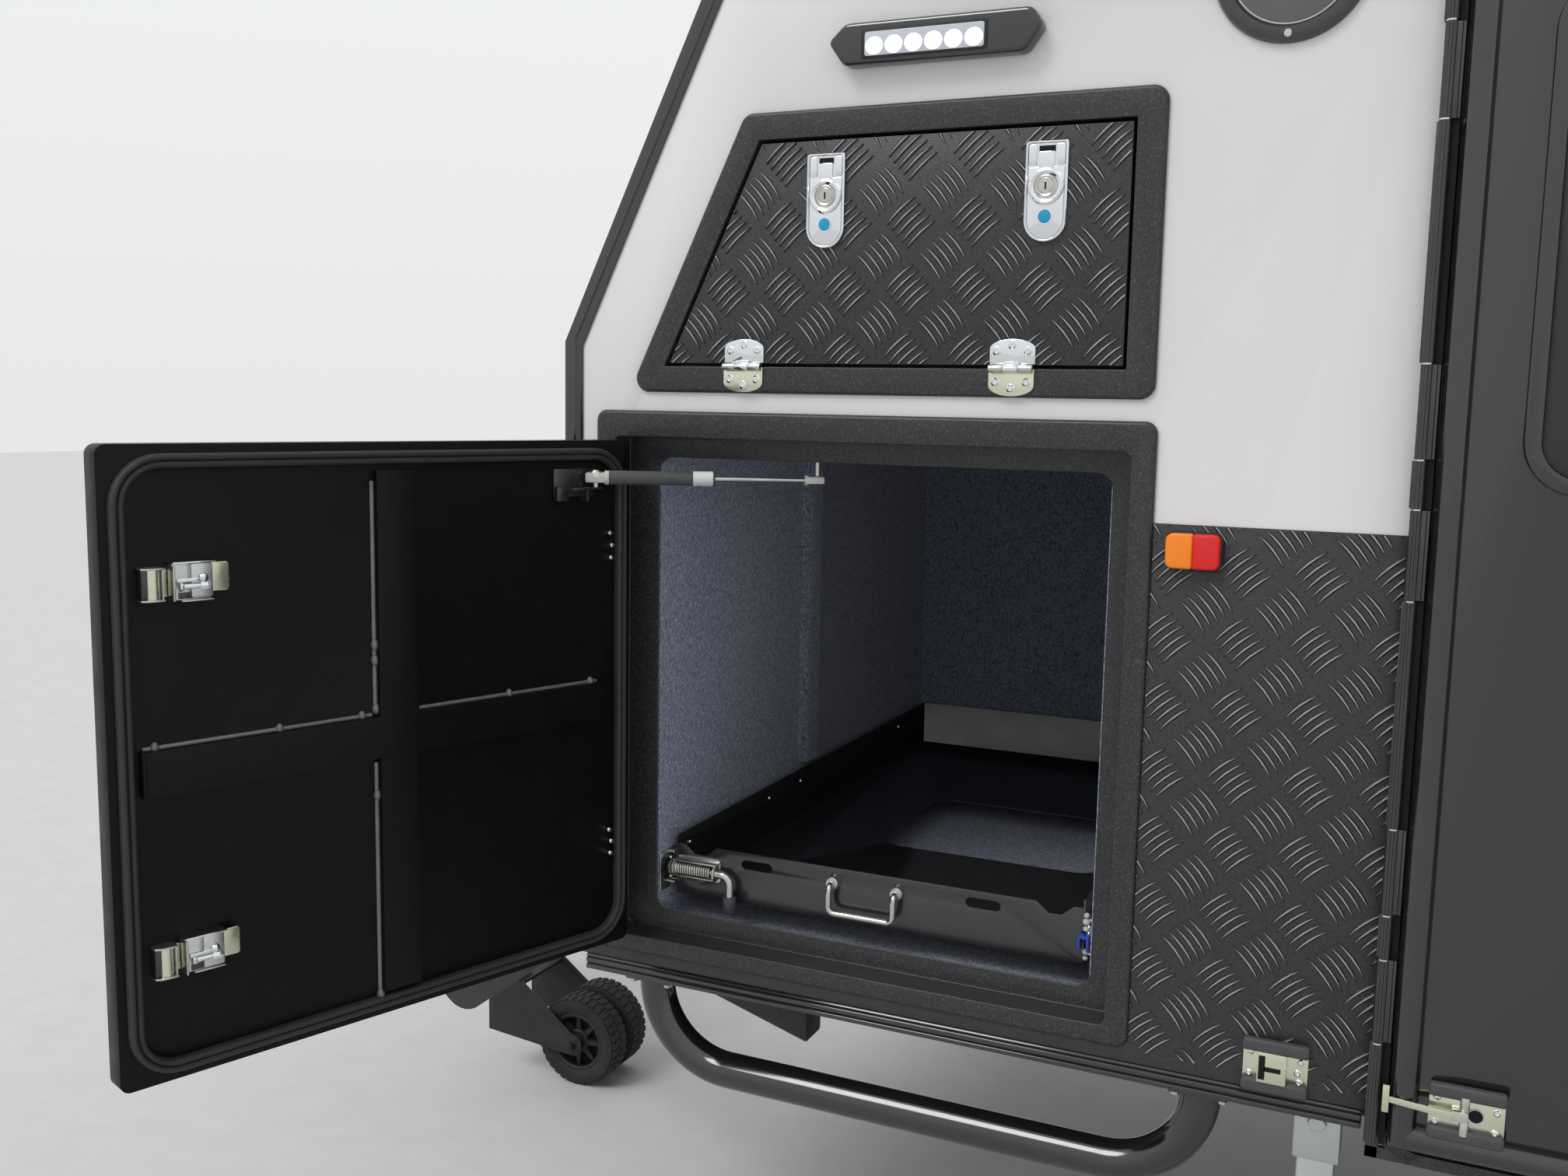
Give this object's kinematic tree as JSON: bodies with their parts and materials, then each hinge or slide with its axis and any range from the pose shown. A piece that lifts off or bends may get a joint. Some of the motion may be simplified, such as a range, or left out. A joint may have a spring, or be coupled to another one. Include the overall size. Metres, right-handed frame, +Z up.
{
  "type": "pop top camper trailer",
  "caption": "Hard-walled off-road camper trailer with a lifting roof, side storage hatches, a slide-out tray, an entry door and an A-frame drawbar on a twin jockey wheel.",
  "frame": {"origin": "centre of the mouth of the tow pin socket, on the underside of the coupling head", "axes": "+X to the rear of the trailer, +Y to the offside, +Z up; -Z is the way the tow pin leaves its socket"},
  "size_m": [5.666, 2.6987, 2.5848],
  "materials": {
    "acrylic": "dark tinted acrylic",
    "air_spring": "ribbed rubber",
    "alloy": "machined alloy",
    "black_coat": "fine textured black powder coat",
    "board": "laminated board",
    "canvas": "coated grey canvas",
    "carpet": "speckled blue-grey carpet",
    "chassis_paint": "satin black chassis paint",
    "chrome": "chrome",
    "dark_plastic": "moulded black plastic",
    "fabric": "quilted cover",
    "gloss_black": "gloss black enamel",
    "lens": "moulded lens",
    "roof_skin": "light grey roof skin",
    "seal": "soft bulb seal",
    "tread_black": "black pressed tread plate",
    "tyre": "road tyre rubber",
    "wall_skin": "smooth light grey composite skin",
    "zinc": "bright zinc plate"
  },
  "bodies": {
    "trailer": {"chassis_rails": "chassis_paint", "cross_members": "chassis_paint", "drawbar": "chassis_paint", "coupling_head": "chassis_paint", "nose_guard": "tread_black", "suspension_brackets": "chassis_paint", "air_springs": "air_spring", "trailing_arms": "chassis_paint", "spare_wheel": "tyre", "jockey_leg": "chassis_paint", "side_wall_near": "wall_skin", "side_wall_off": "wall_skin", "front_wall": "wall_skin", "rear_wall": "wall_skin", "roof_rim": "wall_skin", "floor": "board", "wheel_tubs": "chassis_paint", "body_trims": "gloss_black", "tread_plates": "tread_black", "pop_canvas": "canvas", "roof_lifter_tubes": "zinc", "hatch_frames": "black_coat", "wall_fixings": "zinc", "storage_metalwork": "zinc", "storage_liners": "carpet", "locker_frame": "black_coat", "entry_frame": "black_coat", "window_frames": "dark_plastic", "window_panes": "acrylic", "lamps": "lens", "wall_fittings": "dark_plastic", "scrub_bars": "gloss_black", "stabiliser_legs": "zinc", "arch_flares": "dark_plastic", "rear_bar": "chassis_paint", "cabin_furniture": "board", "mattress": "fabric"},
    "wheel_near": {"rim_near": "alloy", "tyre_near": "tyre"},
    "wheel_off": {"rim_off": "alloy", "tyre_off": "tyre"},
    "jockey_caster": {"jockey_fork": "chassis_paint"},
    "jockey_wheel_pair": {"jockey_wheels": "tyre"},
    "storage_hatch": {"hatch_door": "black_coat", "hatch_hardware": "chrome", "hatch_seal": "seal"},
    "strut_cylinder": {"strut_cylinder": "gloss_black"},
    "strut_rod": {"strut_rod": "zinc"},
    "storage_tray": {"slide_tray": "gloss_black", "tray_hardware": "zinc"},
    "locker_lid": {"locker_hatch": "black_coat", "locker_hardware": "chrome"},
    "entry_door": {"entry_door": "gloss_black", "entry_window": "acrylic", "entry_hardware": "gloss_black"},
    "offside_hatch": {"offside_hatch": "black_coat"},
    "pop_top": {"pop_roof": "roof_skin", "roof_lifter_rods": "zinc"}
  },
  "joints": [
    {"name": "wheel_near_spin", "type": "hinge", "parent": "trailer", "child": "wheel_near", "pos_m": [3.8, -0.85, -0.198], "axis": [0, 1, 0], "continuous": true},
    {"name": "wheel_off_spin", "type": "hinge", "parent": "trailer", "child": "wheel_off", "pos_m": [3.8, 0.85, -0.198], "axis": [0, 1, 0], "continuous": true},
    {"name": "jockey_swivel", "type": "hinge", "parent": "trailer", "child": "jockey_caster", "pos_m": [0.57, 0, -0.342], "axis": [0, 0, 1], "continuous": true},
    {"name": "jockey_spin", "type": "hinge", "parent": "jockey_caster", "child": "jockey_wheel_pair", "pos_m": [0.76, 0, -0.502], "axis": [0, 1, 0], "continuous": true},
    {"name": "storage_hatch_swing", "type": "hinge", "parent": "trailer", "child": "storage_hatch", "pos_m": [1.428, -1.0125, 0.5], "axis": [0, 0, 1], "range_deg": [0, 110]},
    {"name": "strut_swing", "type": "hinge", "parent": "storage_hatch", "child": "strut_cylinder", "pos_m": [1.4522, -1.09367, 0.806], "axis": [0, 0, 1], "range_deg": [-137.72, 0]},
    {"name": "strut_slide", "type": "slide", "parent": "strut_cylinder", "child": "strut_rod", "axis": [0.8684, 0.4959, 0], "range_m": [-0.08049, 0]},
    {"name": "tray_slide", "type": "slide", "parent": "trailer", "child": "storage_tray", "axis": [0, 1, 0], "range_m": [-0.95, 0]},
    {"name": "locker_swing", "type": "hinge", "parent": "trailer", "child": "locker_lid", "pos_m": [1.786, -1.0118, 0.947], "axis": [-1, 0, 0], "range_deg": [-95, 0]},
    {"name": "entry_swing", "type": "hinge", "parent": "trailer", "child": "entry_door", "pos_m": [2.398, -1.022, 0.8], "axis": [0, 0, -1], "range_deg": [0, 172]},
    {"name": "offside_hatch_swing", "type": "hinge", "parent": "trailer", "child": "offside_hatch", "pos_m": [1.428, 1.0125, 0.5], "axis": [0, 0, 1], "range_deg": [0, 110]},
    {"name": "roof_lift", "type": "slide", "parent": "trailer", "child": "pop_top", "axis": [0, 0, 1], "range_m": [-0.35, 0], "deforming": ["pop_canvas"]}
  ],
  "couplings": [
    {"joint": "strut_swing", "follows": "storage_hatch_swing", "ratio": -1.252},
    {"joint": "strut_slide", "follows": "storage_hatch_swing", "m_per_rad": -0.041924}
  ]
}
